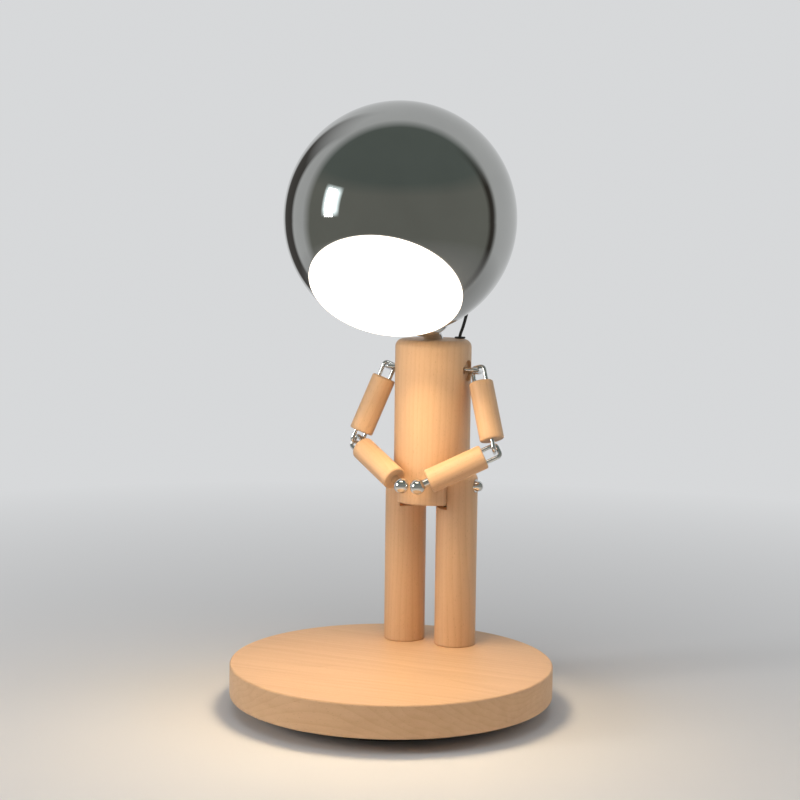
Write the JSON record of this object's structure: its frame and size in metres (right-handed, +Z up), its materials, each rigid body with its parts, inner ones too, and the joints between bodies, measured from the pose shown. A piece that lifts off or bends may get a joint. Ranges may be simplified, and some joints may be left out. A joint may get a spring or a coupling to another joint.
{
  "type": "robot shaped desk lamp",
  "caption": "Wooden figure desk lamp: a metal ball head with a lit round opening on a jointed beech body with arms, legs and a round base.",
  "frame": {"origin": "centre of the round base on the surface it stands on", "axes": "+Z up; -Y is the figure's front, the way its head leans; +X is the figure's own left"},
  "size_m": [0.2, 0.2, 0.373],
  "materials": {
    "beech": "satin oiled beech, fine straight grain with short flecks",
    "bright_chrome": "mirror chrome",
    "smoked_chrome": "dark mirror chrome",
    "zinc_steel": "zinc plated",
    "raw_steel": "blackened steel",
    "brass": "turned",
    "black_rubber": "matt",
    "black_plastic": "fine moulded texture",
    "white_plastic": "smooth",
    "opal": "opal, lit warm white from behind",
    "light_chip": "phosphor",
    "board": "solder mask",
    "copper": "foil",
    "aluminium": "extruded",
    "magnet": "nickel plated"
  },
  "bodies": {
    "base": {"base_disc": "beech", "base_weight": "raw_steel", "foot_dish": "black_plastic", "foot_ring": "black_rubber", "dish_screws": "zinc_steel", "touch_board": "board", "board_spacers": "white_plastic", "touch_pad": "copper", "inlet_block": "black_plastic", "power_socket": "zinc_steel", "leg_left": "beech", "leg_right": "beech", "leg_screws": "zinc_steel", "hip_bolt": "zinc_steel", "hip_washers": "bright_chrome", "hip_cap_nuts": "bright_chrome", "leg_lead": "black_rubber"},
    "body": {"torso": "beech", "hip_bush": "brass", "neck_post": "bright_chrome", "neck_screw": "zinc_steel", "torso_grommet": "black_rubber", "torso_lead": "black_rubber", "lead_lower": "black_rubber"},
    "neck": {"neck_cup": "bright_chrome", "neck_bush": "brass", "neck_magnet": "magnet", "cup_pad": "black_rubber"},
    "head": {"head_shell": "smoked_chrome", "lamp_frame": "white_plastic", "diffuser": "opal", "reflector": "white_plastic", "light_board": "board", "light_chips": "light_chip", "heat_sink": "aluminium", "sink_screws": "zinc_steel", "head_grommet": "black_rubber", "head_lead": "black_rubber", "lead_upper": "black_rubber"},
    "shoulder_link_left": {"shoulder_shackle_left": "bright_chrome"},
    "upper_arm_left": {"upper_arm_left": "beech", "upper_loop_left": "bright_chrome"},
    "elbow_link_left": {"elbow_shackle_left": "bright_chrome"},
    "forearm_left": {"forearm_left": "beech", "fore_loop_left": "bright_chrome", "hand_left": "bright_chrome"},
    "shoulder_link_right": {"shoulder_shackle_right": "bright_chrome"},
    "upper_arm_right": {"upper_arm_right": "beech", "upper_loop_right": "bright_chrome"},
    "elbow_link_right": {"elbow_shackle_right": "bright_chrome"},
    "forearm_right": {"forearm_right": "beech", "fore_loop_right": "bright_chrome", "hand_right": "bright_chrome"}
  },
  "joints": [
    {"name": "hip_tilt", "type": "hinge", "parent": "base", "child": "body", "pos_m": [0, 0.0595, 0.133], "axis": [1, 0, 0], "range_deg": [-12, 12]},
    {"name": "neck_turn", "type": "hinge", "parent": "body", "child": "neck", "pos_m": [0, 0.0595, 0.226], "axis": [0, -0.5792, 0.8152], "range_deg": [-40, 40], "deforming": ["lead_lower"]},
    {"name": "head_tilt", "type": "hinge", "parent": "neck", "child": "head", "pos_m": [0, 0.0055, 0.302], "axis": [0.9816, 0.1908, 0], "range_deg": [-25, 20], "deforming": ["lead_upper"]},
    {"name": "shoulder_swing_left", "type": "hinge", "parent": "body", "child": "shoulder_link_left", "pos_m": [0.0314, 0.0595, 0.2065], "axis": [-1, 0, 0], "range_deg": [0, 60]},
    {"name": "shoulder_lift_left", "type": "hinge", "parent": "shoulder_link_left", "child": "upper_arm_left", "pos_m": [0.0314, 0.0595, 0.2065], "axis": [0, -0.9678, 0.2517], "range_deg": [0, 75]},
    {"name": "elbow_turn_left", "type": "hinge", "parent": "upper_arm_left", "child": "elbow_link_left", "pos_m": [0.04805, 0.04678, 0.1576], "axis": [-0.313, 0.2391, 0.9192], "range_deg": [0, 150]},
    {"name": "elbow_bend_left", "type": "hinge", "parent": "elbow_link_left", "child": "forearm_left", "pos_m": [0.04805, 0.04678, 0.1576], "axis": [0.2938, -0.896, 0.3331], "range_deg": [0, 150]},
    {"name": "shoulder_swing_right", "type": "hinge", "parent": "body", "child": "shoulder_link_right", "pos_m": [-0.0314, 0.0595, 0.2065], "axis": [-1, 0, 0], "range_deg": [0, 60]},
    {"name": "shoulder_lift_right", "type": "hinge", "parent": "shoulder_link_right", "child": "upper_arm_right", "pos_m": [-0.0314, 0.0595, 0.2065], "axis": [0, 0.9678, -0.2517], "range_deg": [0, 75]},
    {"name": "elbow_turn_right", "type": "hinge", "parent": "upper_arm_right", "child": "elbow_link_right", "pos_m": [-0.04805, 0.04678, 0.1576], "axis": [-0.313, -0.2391, -0.9192], "range_deg": [0, 150]},
    {"name": "elbow_bend_right", "type": "hinge", "parent": "elbow_link_right", "child": "forearm_right", "pos_m": [-0.04805, 0.04678, 0.1576], "axis": [0.2938, 0.896, -0.3331], "range_deg": [0, 150]}
  ]
}
